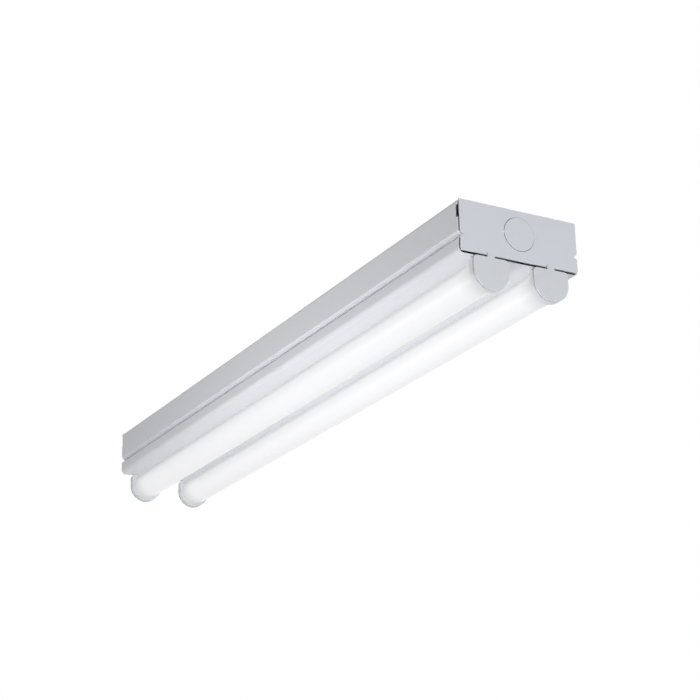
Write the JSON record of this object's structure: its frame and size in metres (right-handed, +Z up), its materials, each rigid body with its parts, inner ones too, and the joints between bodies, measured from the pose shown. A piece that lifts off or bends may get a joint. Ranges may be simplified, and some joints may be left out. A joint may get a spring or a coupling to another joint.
{
  "type": "strip light",
  "caption": "White steel ceiling strip light with round milky lenses side by side, moulded end caps and a drop-down gear tray that holds the LED driver.",
  "frame": {"origin": "centre of the ceiling face", "axes": "+Z up into the ceiling, +X along the light, +Y across it"},
  "size_m": [0.612, 0.1, 0.0649],
  "materials": {
    "enamel": "white baked enamel on folded sheet steel",
    "lens": "milky white extruded acrylic, satin",
    "cap": "white moulded plastic",
    "zinc": "zinc plated steel",
    "green_screw": "green dyed plated steel",
    "spring_steel": "bright spring steel",
    "rivet": "white nylon",
    "led_board": "white solder resist on aluminium",
    "led_chip": "yellow phosphor in a white cup",
    "driver_case": "white painted steel case",
    "circuit_board": "green glass-fibre board",
    "component": "dark moulded parts",
    "terminal": "off-white moulded plastic",
    "black_plastic": "black moulded plastic",
    "tinned": "tinned copper",
    "black_lead": "black insulation",
    "white_lead": "white insulation",
    "green_lead": "green insulation",
    "red_lead": "red insulation",
    "blue_lead": "blue insulation"
  },
  "bodies": {
    "housing": {"housing_channel": "enamel", "end_plate_front": "enamel", "end_plate_back": "enamel", "end_plate_screws": "zinc", "ground_screw": "green_screw", "entry_bushing": "black_plastic"},
    "tray": {"gear_tray": "enamel", "tray_clips": "spring_steel", "clip_rivets": "enamel", "lens_left": "lens", "lens_right": "lens", "led_board_left": "led_board", "led_board_right": "led_board", "led_chips_left": "led_chip", "led_chips_right": "led_chip", "board_rivets": "rivet", "driver_base": "driver_case", "driver_lid": "driver_case", "driver_board": "circuit_board", "driver_components": "component", "driver_screws": "zinc", "driver_bushings": "black_plastic", "terminal_block": "terminal", "terminal_screw": "zinc", "lead_line": "black_lead", "lead_neutral": "white_lead", "lead_ground": "green_lead", "ring_terminal": "tinned", "tray_ground_screw": "green_screw", "leads_plus": "red_lead", "leads_minus": "blue_lead", "grommets": "black_plastic"},
    "cap_front_left": {"lens_cap_front_left": "cap"},
    "cap_front_right": {"lens_cap_front_right": "cap"},
    "cap_back_left": {"lens_cap_back_left": "cap"},
    "cap_back_right": {"lens_cap_back_right": "cap"}
  },
  "joints": [
    {"name": "tray_drop", "type": "slide", "parent": "housing", "child": "tray", "axis": [0, 0, -1], "range_m": [0, 0.12]},
    {"name": "pull_cap_front_left", "type": "slide", "parent": "tray", "child": "cap_front_left", "axis": [1, 0, 0], "range_m": [0, 0.02]},
    {"name": "pull_cap_front_right", "type": "slide", "parent": "tray", "child": "cap_front_right", "axis": [1, 0, 0], "range_m": [0, 0.02]},
    {"name": "pull_cap_back_left", "type": "slide", "parent": "tray", "child": "cap_back_left", "axis": [-1, 0, 0], "range_m": [0, 0.02]},
    {"name": "pull_cap_back_right", "type": "slide", "parent": "tray", "child": "cap_back_right", "axis": [-1, 0, 0], "range_m": [0, 0.02]}
  ]
}
